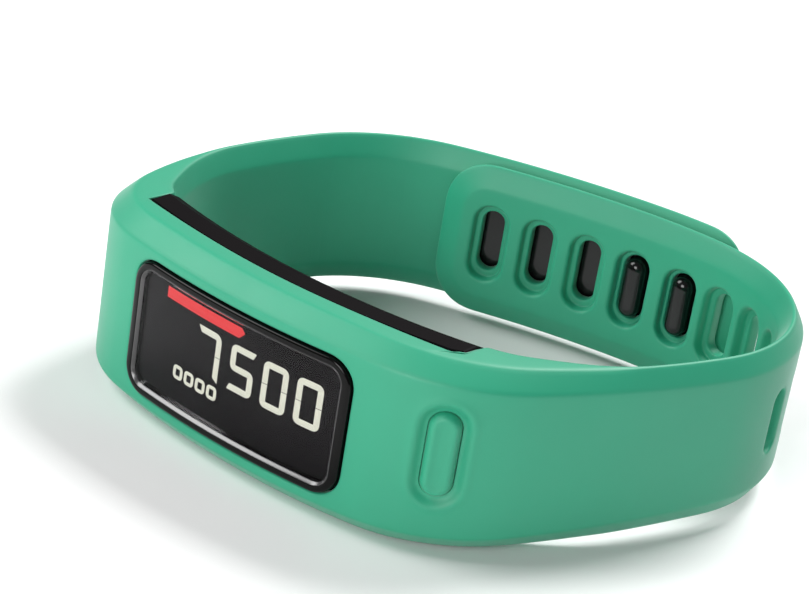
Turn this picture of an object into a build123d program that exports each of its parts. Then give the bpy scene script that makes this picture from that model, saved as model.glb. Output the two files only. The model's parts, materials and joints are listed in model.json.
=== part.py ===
from build123d import *
import math
import os

# Wrist-worn activity tracker: a moulded silicone band that stands on its edge, a
# display module held in a pocket at the front, and a two-peg clasp at the back.
# Millimetres. +Z runs along the wrist and -Y points out of the display. The model
# is built about the display's front centre and moved to the ring's centre, with
# Z = 0 at the band's lower edge, when it is written.

# ------------------------------------------------------------- band, driving sizes
BAND_WIDTH = 21.0            # at the display
STRAP_WIDTH = 18.0           # at the clasp
TAPER_START, TAPER_END = 8.0, 58.0          # arc length from the display's centre
STRAP_THICKNESS = 2.65
POCKET_THICKNESS = 7.0       # silicone beside the module
THINNING_START, THINNING_END = 22.0, 46.0   # arc length
CLASP_GAP = 0.2              # air between the two overlapping straps
CHAMFER_HEIGHT = 1.95        # outer chamfer
CHAMFER_DEPTH = 2.1          # at the display
STRAP_CHAMFER_DEPTH = 1.15   # at the clasp
INNER_CHAMFER_HEIGHT = 2.4
INNER_CHAMFER_DEPTH = 1.1
END_CORNER = 5.2             # corner radius of both strap ends
STATION = 2.5                # spacing of the strap's sections

# The outer face in plan is a chain of tangent arcs, (radius, degrees), that starts
# at the display's centre. The ends overlap, with the peg strap outside.
FRONT_RADIUS = 88.0
OFFSET = STRAP_THICKNESS + CLASP_GAP
FRONT = (FRONT_RADIUS, 10.4)
HOLE_SIDE = [FRONT, (18.5, 51.5), (120.0, 11.0), (18.6, 107.5), (52.0, 10.0), (100.0, 13.743)]
PEG_SIDE = [FRONT, (12.7, 68.0), (54.0, 27.979), (21.264, 49.478), (100.0 + OFFSET, 13.743),
            (52.0 + OFFSET, 10.0), (18.6 + OFFSET, 30.0)]
HOLE_STRAP_END = 123.4       # arc lengths
PEG_STRAP_END = 112.6
FLEX_AT, PEEL_AT = 66.0, 74.0               # where the peg strap bends

# The outer face's box is 65.7 mm wide and 59.1 mm deep, and the bezel stands proud
# of it, so this puts the origin at the middle of the whole object.
FRONT_CENTRE = Vector(-5.70, -29.39, BAND_WIDTH / 2)

# ------------------------------------------------------------- clasp
HOLE_COUNT = 10
HOLE_PITCH = 5.9
FIRST_HOLE = 117.4           # arc length of the hole nearest the end
SLOT = (7.6, 3.0)            # through the strap, length and width
COUNTERBORE = (9.1, 4.0)
COUNTERBORE_DEPTH = 1.15
PEG = (7.1, 2.5)
PEG_REACH = 2.6              # from the hole strap's outer face
PEG_HOLES = (3, 4)           # the holes that the pegs sit in
CLASP_PLATE = (10.4, 1.0)    # height and thickness
PLATE_START, PLATE_END = 79.4, 109.6        # arc lengths, behind the first five holes
PLATE_STANDS = 0.06          # proud of the peg strap's inner face

# ------------------------------------------------------------- module
WINDOW = (29.1, 15.0, 3.0)   # width, height and corner radius
PANEL_VIEW = (26.3, 12.5, 1.5)
MODULE_LEFT, MODULE_RIGHT = -18.8, 21.9
MODULE_HEIGHT = 20.6
MODULE_CORNER = 0.35         # of its full-height ends, seen from the front
BODY_LEFT, BODY_HEIGHT = -17.7, 18.0        # the part of the module under the window
LIP = 1.35                   # silicone over the module, round the window
FLANGE_DEPTH = 4.6           # the module's full height starts here
SPLIT_DEPTH = 6.4            # between the front housing and the back cover
EDGE_DEPTH, BACK_DEPTH = 6.9, 9.8
WALL = 0.85
FIT = 0.12                   # gap between the module and the silicone
WAY_OUT = 40                 # times the gap: how far the pocket runs past the module
BUTTON_AT = 24.2             # arc length on the hole side
BUTTON_HEIGHT = 0.75         # above the band's middle
BUTTON = (9.1, 3.3)
BUTTON_STANDS = 0.35         # proud of the band
KEY = (5.0, 1.4)
KEY_SHIFT = 0.5              # from the button's centre, towards the display
FACET = 3.6                  # depth of the module's end face under the button
INSIDE = FACET + WALL
BOARD = (30.6, 15.6, 0.8)
BOARD_X, BOARD_FRONT = -0.7, 3.9
BACK_OF_BOARD = BOARD_FRONT + BOARD[2]
CELL_DIAMETER, CELL_THICKNESS = 16.0, 3.2
CELL_FRONT = 5.4
CELLS_X = -0.3               # midway between the two cells
CELL_OFFSET = CELL_DIAMETER / 2 + 0.35
SCREW_PLACES = [(x, z) for x in (-15.6, 15.6) for z in (-6.7, 6.7)]
SCREW_DIAMETER, SCREW_HEAD, INSERT_DIAMETER = 1.4, 2.2, 2.2
INSERT_LENGTH = 1.7


# ------------------------------------------------------------- plan curve
def follow(arcs, length):
    """Point and heading after `length` along a chain of tangent arcs."""
    x, y, heading = 0.0, 0.0, 0.0
    for radius, degrees in arcs:
        turn = min(length / radius, math.radians(degrees))
        x += radius * (math.sin(heading + turn) - math.sin(heading))
        y += radius * (math.cos(heading) - math.cos(heading + turn))
        heading += turn
        length -= radius * turn
        if length <= 1e-9:
            break
    return x, y, heading


def outer_point(s):
    """Point on the outer face and its outward normal; s < 0 is the peg side."""
    side = 1 if s >= 0 else -1
    x, y, heading = follow(HOLE_SIDE if s >= 0 else PEG_SIDE, abs(s))
    return Vector(side * x, y, 0), Vector(side * math.sin(heading), -math.cos(heading), 0)


def ease(value, start, end):
    t = min(max((value - start) / (end - start), 0.0), 1.0)
    return t * t * (3 - 2 * t)


def section(s):
    """The strap's cross-section at arc length s: a flat face with four chamfers."""
    point, normal = outer_point(s)
    distance = abs(s)
    half = BAND_WIDTH / 2 - (BAND_WIDTH - STRAP_WIDTH) / 2 * ease(distance, TAPER_START, TAPER_END)
    thin = ease(distance, THINNING_START, THINNING_END)
    depth = POCKET_THICKNESS + (STRAP_THICKNESS - POCKET_THICKNESS) * thin
    outer = CHAMFER_DEPTH + (STRAP_CHAMFER_DEPTH - CHAMFER_DEPTH) * thin
    inner = 0.3 + (INNER_CHAMFER_DEPTH - 0.3) * thin
    upper = [
        (0, half - CHAMFER_HEIGHT),
        (outer, half),
        (depth - inner, half),
        (depth, half - INNER_CHAMFER_HEIGHT),
    ]
    outline = upper + [(u, -v) for u, v in reversed(upper)]
    corners = [point - normal * u + Vector(0, 0, v) for u, v in outline]
    return Face(Wire.make_polygon(corners, close=True))


def strap(start, end):
    count = max(2, math.ceil(abs(end - start) / STATION))
    return loft([section(start + (end - start) * i / count) for i in range(count + 1)], ruled=True)


def face_plane(s, depth=0.0, normal=None):
    """Plane on the strap, its z along the outward normal and its x along +Z."""
    point, own_normal = outer_point(s)
    normal = normal or own_normal
    return Plane(origin=point - normal * depth, x_dir=(0, 0, 1), z_dir=normal)


def pill(size, plane, inward, outward=0.0):
    """A pill-shaped prism on a plane, from `outward` above it to `inward` below."""
    solid = extrude(SlotOverall(size[0], size[1]), amount=inward + outward)
    return plane * Pos(0, 0, -inward) * solid


def end_trims(s, depth, half):
    """What rounds the two corners of a strap that ends at arc length s."""
    side = 1 if s > 0 else -1
    plane = face_plane(s - side * END_CORNER, depth)
    point, normal = outer_point(s - side * END_CORNER)
    along = plane.z_dir.cross(Vector(0, 0, 1)) * side
    trims = []
    for sign in (1, -1):
        centre = point + Vector(0, 0, sign * (half - END_CORNER)) - normal * depth
        corner = Plane(origin=centre, x_dir=along * -1, z_dir=normal)
        away = 1 if corner.y_dir.Z * sign > 0 else -1
        block = Pos(END_CORNER, away * END_CORNER, 0) * Box(2 * END_CORNER, 2 * END_CORNER, 16)
        trims.append(corner * (block - Cylinder(END_CORNER, 16)))
    return trims


# ------------------------------------------------------------- module helpers
CURVE_CENTRE = Axis((0, FRONT_RADIUS, 0), (0, 0, 1))
SPAN = 40.0                  # degrees, well past the module's ends


def curved(points):
    """A (depth, height) outline turned about the display's centre of curvature."""
    outline = Face(Wire.make_polygon([Vector(0, d, z) for d, z in points], close=True))
    return revolve(outline, axis=CURVE_CENTRE, revolution_arc=SPAN).rotate(CURVE_CENTRE, -SPAN / 2)


def layer(front, back, height):
    half = height / 2
    return curved([(front, -half), (back, -half), (back, half), (front, half)])


def prism(left, right, height, corner, front=-3.0, back=16.0):
    """A rounded rectangle seen from the front, cut straight through along Y."""
    outline = Pos((left + right) / 2, 0) * RectangleRounded(right - left, height, corner)
    return Plane(origin=(0, back, 0), z_dir=(0, -1, 0), x_dir=(1, 0, 0)) * extrude(outline, back - front)


def window_prism(size, grow=0.0):
    width, height, corner = size
    return prism(-width / 2 - grow, width / 2 + grow, height + 2 * grow, corner + grow)


BUTTON_FACE = face_plane(BUTTON_AT)
BUTTON_PLANE = Plane(
    origin=BUTTON_FACE.origin + Vector(0, 0, BUTTON_HEIGHT),
    x_dir=BUTTON_FACE.x_dir,
    z_dir=BUTTON_FACE.z_dir,
)
KEY_PLANE = Plane(
    origin=BUTTON_PLANE.origin + BUTTON_PLANE.y_dir * KEY_SHIFT,
    x_dir=BUTTON_PLANE.x_dir,
    z_dir=BUTTON_PLANE.z_dir,
)


def beyond_facet(depth):
    """Everything nearer the button than `depth`, past the window's right edge."""
    block = Pos(0, 0, 15 - depth) * Box(40, 20, 30)
    return BUTTON_PLANE * block


def module_form(grow=0.0):
    """The module's outside, without its bezel and back crown, or the pocket it fits."""
    body = layer(LIP - grow, BACK_DEPTH, BODY_HEIGHT + 2 * grow) \
        & prism(BODY_LEFT - grow, MODULE_RIGHT, BODY_HEIGHT + 2 * grow, 2.0)
    plate = layer(FLANGE_DEPTH - grow, BACK_DEPTH + WAY_OUT * grow, MODULE_HEIGHT + WAY_OUT * grow) \
        & prism(MODULE_LEFT - grow, MODULE_RIGHT + grow, MODULE_HEIGHT + WAY_OUT * grow, MODULE_CORNER)
    return body + plate - beyond_facet(FACET - grow)


# ------------------------------------------------------------- band
def peg_normal():
    first = outer_point(FIRST_HOLE - PEG_HOLES[0] * HOLE_PITCH)[1]
    last = outer_point(FIRST_HOLE - PEG_HOLES[1] * HOLE_PITCH)[1]
    return (first + last).normalized()


def hole_plane(index):
    normal = peg_normal() if index in PEG_HOLES else None
    return face_plane(FIRST_HOLE - index * HOLE_PITCH, normal=normal)


def make_wrist_band():
    band = strap(-FLEX_AT, HOLE_STRAP_END)
    for trim in end_trims(HOLE_STRAP_END, 0, STRAP_WIDTH / 2):
        band -= trim
    for index in range(HOLE_COUNT):
        plane = hole_plane(index)
        band -= pill(SLOT, plane, 5, 2)
        band -= pill(COUNTERBORE, plane * Pos(0, 0, COUNTERBORE_DEPTH - STRAP_THICKNESS), 5)
    band -= module_form(FIT)
    band -= window_prism(WINDOW) & layer(-2, 5, BAND_WIDTH)
    band -= pill((BUTTON[0] + 0.5, BUTTON[1] + 0.5), BUTTON_PLANE, 5, 2)
    return band


def make_peg_strap():
    return strap(-FLEX_AT, -PEEL_AT)


def make_clasp_end():
    end = strap(-PEEL_AT, -PEG_STRAP_END)
    for trim in end_trims(-PEG_STRAP_END, 0, STRAP_WIDTH / 2):
        end -= trim
    for index in PEG_HOLES:
        end -= pill((PEG[0] + 0.04, PEG[1] + 0.04), hole_plane(index), 1, CLASP_GAP + 0.9)
    return end - clasp_plate_form(0.02)


def clasp_plate_form(grow=0.0):
    """The insert's plate, curved with the peg strap's inner face."""
    up = Vector(0, 0, CLASP_PLATE[0] / 2 + grow)
    count = 12
    sections = []
    for k in range(count + 1):
        s = PLATE_START - grow + (PLATE_END - PLATE_START + 2 * grow) * k / count
        point, normal = outer_point(-s)
        inner = point - normal * (STRAP_THICKNESS + PLATE_STANDS + grow)
        outer = inner + normal * (CLASP_PLATE[1] + 2 * grow)
        corners = [inner + up, outer + up, outer - up, inner - up]
        sections.append(Face(Wire.make_polygon(corners, close=True)))
    return loft(sections, ruled=True)


def make_clasp_insert():
    insert = clasp_plate_form()
    for index in PEG_HOLES:
        point = outer_point(FIRST_HOLE - index * HOLE_PITCH)[0]
        plane = Plane(origin=point, x_dir=(0, 0, 1), z_dir=peg_normal())
        peg = pill(PEG, plane, PEG_REACH, CLASP_GAP + 0.9)
        tip = peg.faces().sort_by(Axis(plane.origin, plane.z_dir))[0]
        insert += fillet(tip.edges(), 1.15)
    return insert


def make_button_pad():
    pad = pill(BUTTON, BUTTON_PLANE, FACET - 0.5, BUTTON_STANDS)
    crown = pad.faces().sort_by(Axis(BUTTON_PLANE.origin, BUTTON_PLANE.z_dir))[-1]
    return fillet(crown.edges(), 0.5) + pill((KEY[0] - 0.6, KEY[1] - 0.3), KEY_PLANE, FACET - 0.1)


# ------------------------------------------------------------- module pieces
def depth_to_y(x, depth):
    """Y of a point at `depth` behind the curved front, at a given x."""
    return FRONT_RADIUS - math.sqrt((FRONT_RADIUS - depth) ** 2 - x * x)


def rod(x, z, diameter, y_front, y_back):
    length = y_back - y_front
    return Plane(origin=(x, y_front, z), z_dir=(0, 1, 0)) \
        * Pos(0, 0, length / 2) * Cylinder(diameter / 2, length)


def plate(x, z, front, size):
    """A flat plate seen from the front at (x, z): width, height and thickness."""
    width, height, thickness = size
    return Pos(x, front + thickness / 2, z) * Box(width, thickness, height)


def cavity():
    """The module's inside: behind the window, then wider in the flange."""
    front = layer(LIP + WALL, BACK_DEPTH, BODY_HEIGHT - 2 * WALL) \
        & prism(BODY_LEFT + WALL, MODULE_RIGHT - WALL, BODY_HEIGHT - 2 * WALL, 1.0)
    return front - beyond_facet(INSIDE)


def make_cover_gasket():
    ring = prism(BODY_LEFT - 0.3, MODULE_RIGHT - 0.3, MODULE_HEIGHT - 0.8, 0.9) \
        - beyond_facet(FACET + 0.3)
    middle = prism(BODY_LEFT + 0.1, MODULE_RIGHT - 0.7, MODULE_HEIGHT - 1.6, 0.5) \
        - beyond_facet(FACET + 0.7)
    gasket = (ring - middle) & layer(SPLIT_DEPTH - 0.25, SPLIT_DEPTH + 0.15, BAND_WIDTH)
    return gasket - pill((KEY[0] + 1.6, KEY[1] + 1.0), KEY_PLANE, 9)


def make_front_housing():
    housing = module_form() & layer(LIP, SPLIT_DEPTH, BAND_WIDTH)
    housing -= cavity()
    opening = (PANEL_VIEW[0] - 0.4, PANEL_VIEW[1] - 0.4, 1.2)
    housing -= window_prism(opening) & layer(0, LIP + WALL + 0.1, BAND_WIDTH)
    for x, z in SCREW_PLACES:
        front, back = depth_to_y(x, LIP + WALL - 0.2), depth_to_y(x, SPLIT_DEPTH)
        post = rod(x, z, INSERT_DIAMETER + 1.0, front, back + 0.5) & module_form()
        housing += post & layer(LIP, SPLIT_DEPTH, BAND_WIDTH)
        housing -= rod(x, z, INSERT_DIAMETER, back - INSERT_LENGTH, back + 1)
    housing -= pill((KEY[0] + 0.2, KEY[1] + 0.2), KEY_PLANE, INSIDE + 0.6)
    housing -= pill((KEY[0] + 1.2, KEY[1] + 0.8), KEY_PLANE, INSIDE + 0.9) - beyond_facet(INSIDE)
    return housing - make_cover_gasket()


def make_back_cover():
    half = MODULE_HEIGHT / 2
    crown = [(SPLIT_DEPTH, half), (EDGE_DEPTH, half), (8.6, half - 0.9), (BACK_DEPTH, half - 2.3)]
    cover = curved([(d, -z) for d, z in crown] + crown[::-1])
    cover &= prism(MODULE_LEFT, MODULE_RIGHT, MODULE_HEIGHT, MODULE_CORNER)
    cover -= beyond_facet(FACET)
    inner = [(SPLIT_DEPTH - 1, 8.15), (8.2, 8.15), (8.85, 7.9)]
    hollow = curved([(d, -z) for d, z in inner] + inner[::-1])
    cover -= hollow & prism(BODY_LEFT + WALL, MODULE_RIGHT - WALL, 16.3, 1.0) - beyond_facet(INSIDE)
    for x, z in SCREW_PLACES:
        split, back = depth_to_y(x, SPLIT_DEPTH), depth_to_y(x, BACK_DEPTH)
        post = rod(x, z, INSERT_DIAMETER + 1.0, split - 0.5, back - 0.5)
        cover += post & layer(SPLIT_DEPTH, BACK_DEPTH, MODULE_HEIGHT)
        cover -= rod(x, z, SCREW_DIAMETER + 0.2, split - 1, back + 1)
        cover -= rod(x, z, SCREW_HEAD + 0.2, back - 1.0, back + 1)
    cover -= pill((KEY[0] + 0.2, KEY[1] + 0.2), KEY_PLANE, INSIDE + 0.6)
    return cover - make_cover_gasket()


def make_screw_inserts():
    inserts = []
    for x, z in SCREW_PLACES:
        back = depth_to_y(x, SPLIT_DEPTH)
        insert = rod(x, z, INSERT_DIAMETER, back - INSERT_LENGTH, back - 0.3)
        inserts.append(insert - rod(x, z, SCREW_DIAMETER, back - INSERT_LENGTH + 0.2, back + 1))
    return inserts


def make_cover_screws():
    screws = []
    for x, z in SCREW_PLACES:
        head_back = depth_to_y(x, BACK_DEPTH) - 0.15
        shank = rod(x, z, SCREW_DIAMETER, depth_to_y(x, SPLIT_DEPTH) - INSERT_LENGTH + 0.2, head_back - 0.4)
        head = rod(x, z, SCREW_HEAD, head_back - 0.8, head_back)
        slot = plate(x, z, head_back - 0.35, (SCREW_HEAD * 0.75, 0.35, 1))
        cross = plate(x, z, head_back - 0.35, (0.35, SCREW_HEAD * 0.75, 1))
        screws.append(shank + head - slot - cross)
    return screws


def make_bezel():
    ring = window_prism(WINDOW, -FIT) & layer(-0.3, LIP, BAND_WIDTH)
    return ring - (window_prism(PANEL_VIEW) & layer(-2, LIP + 1, BAND_WIDTH))


def make_display_lens():
    return window_prism(PANEL_VIEW, -0.03) & layer(0.05, 0.55, BAND_WIDTH)


def make_display_panel():
    return window_prism(PANEL_VIEW, -0.3) & layer(0.6, LIP + WALL, BAND_WIDTH)


def make_display_frame():
    frame = window_prism(PANEL_VIEW, 0.5) & layer(LIP + WALL + 0.02, 2.75, BAND_WIDTH)
    return frame - (window_prism((22.0, 9.0, 1.0)) & layer(2, 4, BAND_WIDTH))


def make_display_flex():
    return prism(-6.0, 6.0, 7.0, 0.6) & layer(2.8, 2.95, BAND_WIDTH)


def make_main_board():
    board = plate(BOARD_X, 0, BOARD_FRONT, BOARD)
    for x, z in SCREW_PLACES:
        board -= rod(x, z, INSERT_DIAMETER + 1.2, 0, 10)
    return board - beyond_facet(INSIDE + 0.1)


def make_radio_chip():
    return plate(CELLS_X, 0.2, BACK_OF_BOARD, (4.2, 4.2, 0.55))


def make_motion_sensor():
    return plate(CELLS_X, -4.6, BACK_OF_BOARD, (2.0, 2.0, 0.6))


def make_clock_crystal():
    return plate(CELLS_X, 4.6, BACK_OF_BOARD, (3.2, 1.5, 0.6))


def make_chip_antenna():
    return plate(-15.2, 0, BACK_OF_BOARD, (1.2, 3.2, 0.5))


def make_capacitors():
    places = [(x, z) for x in (-12.6, -11.0, -9.4) for z in (-7.1, 7.1)]
    return [plate(x, z, BACK_OF_BOARD, (1.0, 0.5, 0.5)) for x, z in places]


def make_contact(side):
    """A spring finger that joins the board to one cell."""
    foot = plate(side * 4.6 + CELLS_X, 0, BACK_OF_BOARD, (3.0, 2.4, 0.15))
    neck = plate(side * 3.4 + CELLS_X, 0, BACK_OF_BOARD, (0.3, 2.0, 0.7))
    arm = plate(side * 6.5 + CELLS_X, 0, BACK_OF_BOARD + 0.55, (6.5, 2.0, 0.15))
    return foot + neck + arm


def make_coin_cell(side):
    cell = rod(side * CELL_OFFSET + CELLS_X, 0, CELL_DIAMETER, CELL_FRONT, CELL_FRONT + CELL_THICKNESS)
    return fillet(cell.edges().filter_by(GeomType.CIRCLE), 0.3)


def make_battery_tray():
    tray = layer(5.35, 7.9, 16.2) & prism(CELLS_X - 16.45, CELLS_X + 16.2, 16.2, 1.5)
    for side in (-1, 1):
        tray -= rod(side * CELL_OFFSET + CELLS_X, 0, CELL_DIAMETER + 0.16, 0, 20)
    for x, z in SCREW_PLACES:
        tray -= rod(x, z, INSERT_DIAMETER + 1.2, 0, 20)
    pieces = tray.solids().sort_by(SortBy.VOLUME)
    return pieces[-1]


def make_module_key():
    stem = pill(KEY, KEY_PLANE, INSIDE + 0.5) - beyond_facet(FACET - 0.05)
    rim = pill((KEY[0] + 1.2, KEY[1]), KEY_PLANE, INSIDE + 0.85) - beyond_facet(INSIDE + 0.45)
    return stem + rim


def make_key_seal():
    seal = pill((KEY[0] + 0.9, KEY[1] + 0.7), KEY_PLANE, INSIDE + 0.4) - beyond_facet(INSIDE)
    return seal - pill((KEY[0] + 0.2, KEY[1] + 0.2), KEY_PLANE, 8)


def make_switch_plunger():
    return pill((1.9, 1.3), KEY_PLANE, INSIDE + 1.85) - beyond_facet(INSIDE + 0.9)


def make_switch_body():
    body = KEY_PLANE * Pos(0, 0, -INSIDE - 1.95) * Box(4.0, 2.6, 1.1)
    return body - pill((2.1, 1.5), KEY_PLANE, INSIDE + 2.3)


PIECES = {
    "wrist_band": make_wrist_band,
    "peg_strap": make_peg_strap,
    "clasp_strap_end": make_clasp_end,
    "clasp_insert": make_clasp_insert,
    "button_pad": make_button_pad,
    "front_housing": make_front_housing,
    "bezel": make_bezel,
    "display_lens": make_display_lens,
    "display_panel": make_display_panel,
    "display_frame": make_display_frame,
    "display_flex": make_display_flex,
    "main_board": make_main_board,
    "radio_chip": make_radio_chip,
    "motion_sensor": make_motion_sensor,
    "clock_crystal": make_clock_crystal,
    "chip_antenna": make_chip_antenna,
    "capacitors": make_capacitors,
    "module_key": make_module_key,
    "key_seal": make_key_seal,
    "switch_plunger": make_switch_plunger,
    "switch_body": make_switch_body,
    "battery_tray": make_battery_tray,
    "coin_cell_left": lambda: make_coin_cell(-1),
    "coin_cell_right": lambda: make_coin_cell(1),
    "contact_left": lambda: make_contact(-1),
    "contact_right": lambda: make_contact(1),
    "cover_gasket": make_cover_gasket,
    "back_cover": make_back_cover,
    "screw_inserts": make_screw_inserts,
    "cover_screws": make_cover_screws,
}


def place(solid):
    """Moves a piece from the display's front centre to the object's own origin."""
    return Pos(*FRONT_CENTRE) * solid


os.makedirs("parts", exist_ok=True)
for name, make in PIECES.items():
    made = make()
    pieces = made if isinstance(made, list) else [made]
    solids = [place(solid) for piece in pieces for solid in piece.solids()]
    export_step(Compound(children=solids) if len(solids) > 1 else solids[0], f"parts/{name}.step")
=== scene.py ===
import bmesh
import bpy
import json
import math
from mathutils import Matrix, Vector


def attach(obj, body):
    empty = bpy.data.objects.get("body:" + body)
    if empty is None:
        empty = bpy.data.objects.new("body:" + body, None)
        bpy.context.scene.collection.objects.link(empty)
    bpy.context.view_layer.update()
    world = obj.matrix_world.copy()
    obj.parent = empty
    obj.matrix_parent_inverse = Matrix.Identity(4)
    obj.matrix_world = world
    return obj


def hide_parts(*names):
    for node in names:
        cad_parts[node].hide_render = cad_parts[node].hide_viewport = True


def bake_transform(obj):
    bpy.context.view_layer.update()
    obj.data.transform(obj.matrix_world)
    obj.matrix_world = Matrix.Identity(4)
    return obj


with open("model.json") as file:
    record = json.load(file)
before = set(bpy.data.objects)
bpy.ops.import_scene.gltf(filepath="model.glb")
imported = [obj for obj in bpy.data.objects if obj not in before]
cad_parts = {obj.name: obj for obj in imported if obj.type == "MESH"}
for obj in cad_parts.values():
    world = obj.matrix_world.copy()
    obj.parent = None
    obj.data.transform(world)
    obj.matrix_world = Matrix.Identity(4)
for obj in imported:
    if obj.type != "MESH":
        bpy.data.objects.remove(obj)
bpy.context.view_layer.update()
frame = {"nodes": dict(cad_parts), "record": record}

# A fitness tracker band: the silicone, the bezel and the read-out are rebuilt as smooth
# meshes along the same plan arcs as the CAD, and the module's other hard pieces and the
# clasp insert keep their CAD shapes. Sizes are in millimetres and become metres where a
# mesh is made.
MM = 0.001
TINY = 1e-9

# ------------------------------------------------------------- the band's driving sizes
BAND_WIDTH, STRAP_WIDTH = 21.0, 18.0
TAPER_START, TAPER_END = 8.0, 58.0             # arc lengths between which the width falls
STRAP_THICKNESS, POCKET_THICKNESS = 2.65, 7.0
THINNING_START, THINNING_END = 22.0, 46.0      # and between which the thickness does
CLASP_GAP = 0.2
CHAMFER_HEIGHT, CHAMFER_DEPTH, STRAP_CHAMFER_DEPTH = 1.95, 2.1, 1.15
INNER_CHAMFER_HEIGHT, INNER_CHAMFER_DEPTH, WALL_CHAMFER_DEPTH = 2.4, 1.1, 0.3
SHELF_CHAMFER_HEIGHT, SHELF_CHAMFER_DEPTH = 0.45, 0.22
END_CORNER = 5.2                               # corner radius of the two strap ends

# The plan curve on each side of the display, as (radius, degrees) arcs
FRONT_RADIUS = 88.0
OFFSET = STRAP_THICKNESS + CLASP_GAP
FRONT = (FRONT_RADIUS, 10.4)
HOLE_SIDE = [FRONT, (18.5, 51.5), (120.0, 11.0), (18.6, 107.5), (52.0, 10.0), (100.0, 13.743)]
PEG_SIDE = [FRONT, (12.7, 68.0), (54.0, 27.979), (21.264, 49.478), (100.0 + OFFSET, 13.743),
            (52.0 + OFFSET, 10.0), (18.6 + OFFSET, 30.0)]
HOLE_STRAP_END, PEG_STRAP_END = 123.4, 112.6   # arc lengths of the two strap ends
FRONT_CENTRE = Vector((-5.70, -29.39, BAND_WIDTH / 2))

# Slots and recesses are (length, width); holes are counted from the strap's tip
HOLE_COUNT, HOLE_PITCH, FIRST_HOLE = 10, 5.9, 117.4
PEG_SLOT, SLOT, COUNTERBORE, COUNTERBORE_DEPTH = (7.6, 3.0), (7.2, 2.5), (9.0, 3.9), 1.15
PEG_HOLES = (3, 4)

# The display and the pocket; the window and the panel are (width, height, corner radius)
WINDOW = (29.1, 15.0, 3.0)
PANEL_VIEW = (26.3, 12.5, 1.5)
BEZEL_REACH = 1.25                             # from the window's edge in to the lens
LIP, SHELF, FIT = 1.35, 4.6, 0.12
LIP_LINE, SHELF_LINE = LIP - FIT, SHELF - FIT
POCKET_LEFT, POCKET_RIGHT = -18.92, 22.02
BODY_LEFT, BODY_RIGHT, BODY_HEIGHT, BODY_CORNER = -17.82, 19.6, 18.24, 2.0
BUTTON_AT, BUTTON_HEIGHT, BUTTON = 24.2, 0.75, (9.1, 3.3)
FACET = 3.6                                    # depth of the slanted wall under the button
# Arc lengths at which the pocket's end walls meet the band's inner face, and those whose
# band width the right part of the shelf and the right wall's foot take
WALL_LEFT, WALL_RIGHT = 26.9, 28.8
SHELF_RIGHT_AT, RIGHT_FOOT_AT = 21.5, 22.0

# ------------------------------------------------------------- mesh layout
ROWS = 26                                      # across a face
HOLE_ROWS = (2, 24)
BUTTON_ROWS = (3, ROWS)
HOLE_COLUMNS = 10
TIP_COLUMNS = 5
RIDE_FROM, FLEX_END = 60.0, 70.0               # the peg side's separate stretch, where the real strap bends, lies between these arc lengths
EDGE_ROUND = (0.42, 0.38, 0.32, 0.5)           # radii of the four profile corners
ROUND_SHARE = 0.45                             # most of an edge that one rounding may take

# Stations where the mesh columns change: the top and foot of the pocket's left wall, the
# window's edge, the shelf's end, the foot and top of the right wall, and the end of the
# button's patch. Past EVEN_FROM the inner face has the same arc length as the outer one.
LEFT_TOP, LEFT_FOOT, WINDOW_EDGE = -24.0, -19.5, 16.8
SHELF_END, RIGHT_FOOT, RIGHT_TOP, BUTTON_END = 18.9, 20.0, 24.2, 28.4
EVEN_FROM = 40.0
# The shelf's x at its stations
SHELF_STATIONS = [(LEFT_FOOT, POCKET_LEFT), (-WINDOW_EDGE, -18.6), (WINDOW_EDGE, 20.2),
                  (SHELF_END, 20.9)]

# Rings of each feature, as (way out from its outline, depth)
HOLE_RINGS = ((0.55, 0.0), (0.26, 0.01), (0.07, 0.08), (0.0, 0.28), (-0.02, 0.8))
WINDOW_RINGS = ((0.3, 0.0), (0.1, 0.03), (0.0, 0.16), (0.0, 0.7), (0.0, LIP_LINE - 0.08),
                (0.1, LIP_LINE))
GROOVE_RINGS = ((1.9, 0.0), (1.6, -0.07), (1.3, -0.13), (1.0, -0.07), (0.72, 0.14), (0.5, 0.33),
                (0.3, 0.44), (0.12, 0.47), (0.01, 0.49), (0.06, 0.6), (0.06, 2.55), (-0.1, 2.75),
                (-0.8, 2.8))
PAD_RINGS = ((-1.4, -0.2), (-1.2, -0.21), (-0.95, -0.26), (-0.75, -0.3), (-0.55, -0.28),
             (-0.36, -0.17), (-0.18, 0.05), (-0.05, 0.3), (0.0, 0.52), (0.0, 2.0), (-0.2, 2.2),
             (-1.2, 2.2))
BEZEL_RINGS = ((-0.15, 1.3), (-0.14, 0.3), (-0.15, -0.02), (-0.2, -0.17), (-0.3, -0.26),
               (-0.46, -0.3), (-0.74, -0.3), (-0.86, -0.285), (-0.92, -0.24), (-0.98, 0.1),
               (-1.0, 1.3))
BEZEL_EDGE_RINGS = ((-0.9, 0.5), (-0.9, -0.22), (-0.94, -0.27), (-0.99, -0.24), (-1.16, 0.0),
                    (-1.23, 0.07), (-1.25, 0.16), (-1.25, 0.5))
# The same with depths from the floor of a hole's recess
HOLE_FLOOR_RINGS = ((0.0, -0.25), (0.07, -0.06), (0.2, 0.0))
RECESS_RINGS = ((-0.2, 0.0), (-0.08, 0.06), (-0.02, 0.3), (0.02, 0.75), (0.1, 0.98), (0.24, 1.11),
                (0.42, COUNTERBORE_DEPTH))
# Points round the button's outline on a circle clear of it, and along the long and short
# sides of a box clear of the bezel
PAD_PLACES, PAD_CIRCLE = 96, 9.0
BEZEL_PLACES, BEZEL_BOX = (96, 48), (20.0, 12.0)


# ------------------------------------------------------------- strap space
def follow(arcs, length):
    """Plan position and heading after `length` along a chain of arcs."""
    x, y, heading = 0.0, 0.0, 0.0
    for radius, degrees in arcs:
        turn = min(length / radius, math.radians(degrees))
        x += radius * (math.sin(heading + turn) - math.sin(heading))
        y += radius * (math.cos(heading) - math.cos(heading + turn))
        heading += turn
        length -= radius * turn
        if length <= TINY:
            break
    return x, y, heading


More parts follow.
